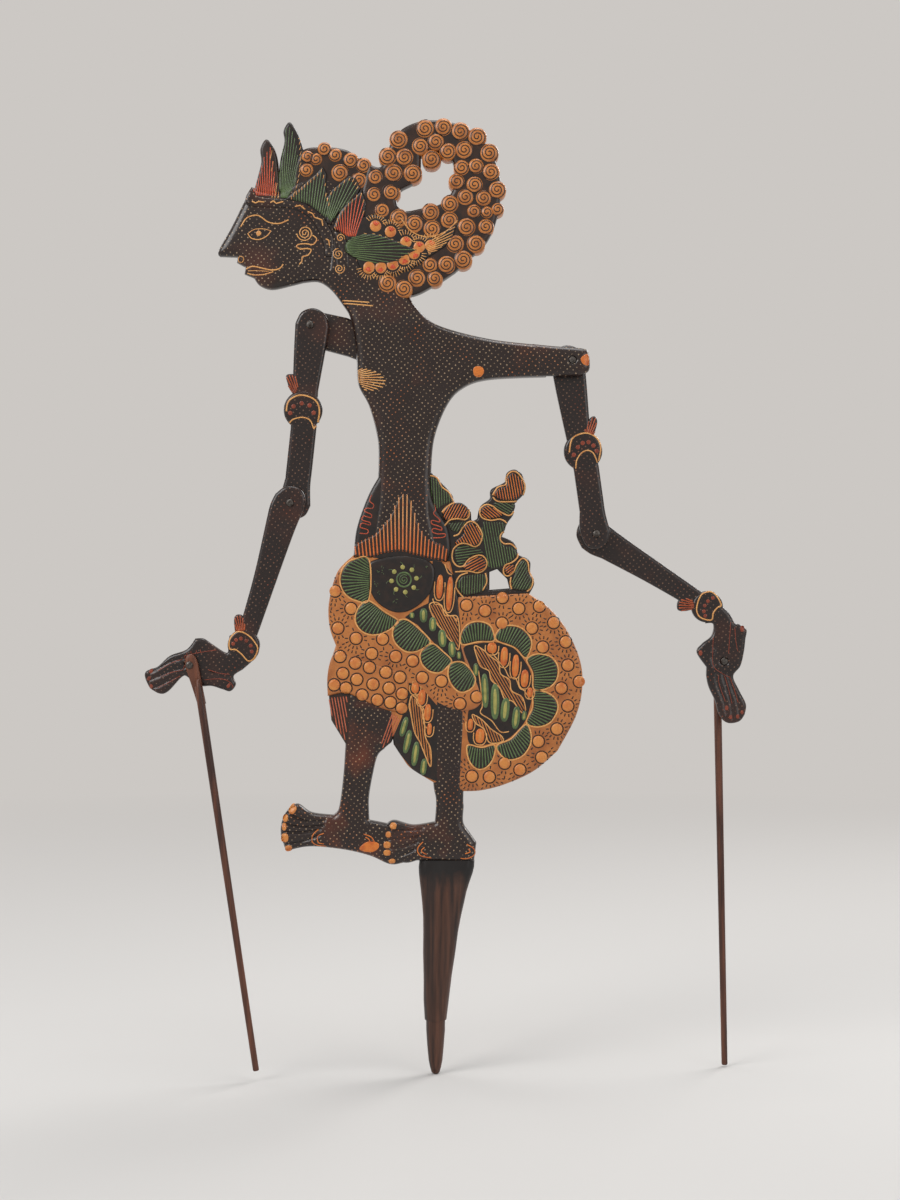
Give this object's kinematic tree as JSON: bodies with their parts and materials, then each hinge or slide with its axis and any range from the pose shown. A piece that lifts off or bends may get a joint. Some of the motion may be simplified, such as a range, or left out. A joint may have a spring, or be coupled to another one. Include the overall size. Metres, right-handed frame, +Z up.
{
  "type": "wayang klitik puppet",
  "caption": "Flat carved wooden rod puppet on a spike handle, with jointed arms and control rods at the hands.",
  "frame": {"origin": "centre of the blunt tip of the spike under the figure", "axes": "+Z up along the spike, +X to the right of the figure as its front is seen, -Y out of the figure's front"},
  "size_m": [0.3912, 0.0468, 0.6202],
  "materials": {
    "lacquered_wood": "dark lacquered and painted, glossy on the edges",
    "lacquered_limb": "dark brown lacquer, satin",
    "stained_wood": "brown stained and lightly varnished",
    "rod_wood": "brown stained, satin",
    "nail_steel": "dulled dark steel",
    "washer_brass": "dulled brass"
  },
  "bodies": {
    "figure": {"body_plank": "lacquered_wood", "handle": "stained_wood", "shoulder_pin_left": "nail_steel", "shoulder_washer_left": "washer_brass", "shoulder_pin_right": "nail_steel", "shoulder_washer_right": "washer_brass"},
    "upper_arm_left": {"upper_arm_left": "lacquered_limb", "elbow_pin_left": "nail_steel", "elbow_washer_left": "washer_brass"},
    "upper_arm_right": {"upper_arm_right": "lacquered_limb", "elbow_pin_right": "nail_steel", "elbow_washer_right": "washer_brass"},
    "forearm_left": {"forearm_left": "lacquered_limb", "hand_pin_left": "nail_steel", "hand_washer_left": "washer_brass"},
    "forearm_right": {"forearm_right": "lacquered_limb", "hand_pin_right": "nail_steel", "hand_washer_right": "washer_brass"},
    "rod_left": {"rod_left": "rod_wood"},
    "rod_right": {"rod_right": "rod_wood"}
  },
  "joints": [
    {"name": "left_shoulder", "type": "hinge", "parent": "figure", "child": "upper_arm_left", "pos_m": [-0.0812, 0, 0.4854], "axis": [0, -1, 0], "range_deg": [-105, 15]},
    {"name": "right_shoulder", "type": "hinge", "parent": "figure", "child": "upper_arm_right", "pos_m": [0.0887, 0, 0.4628], "axis": [0, -1, 0], "range_deg": [-20, 185]},
    {"name": "left_elbow", "type": "hinge", "parent": "upper_arm_left", "child": "forearm_left", "pos_m": [-0.09355, 0, 0.36986], "axis": [0, -1, 0], "range_deg": [-145, 185]},
    {"name": "right_elbow", "type": "hinge", "parent": "upper_arm_right", "child": "forearm_right", "pos_m": [0.10468, 0, 0.35053], "axis": [0, -1, 0], "range_deg": [-205, 125]},
    {"name": "left_rod", "type": "hinge", "parent": "forearm_left", "child": "rod_left", "pos_m": [-0.15763, 0, 0.26569], "axis": [0, -1, 0], "continuous": true},
    {"name": "right_rod", "type": "hinge", "parent": "forearm_right", "child": "rod_right", "pos_m": [0.18898, 0, 0.2674], "axis": [0, -1, 0], "continuous": true}
  ]
}
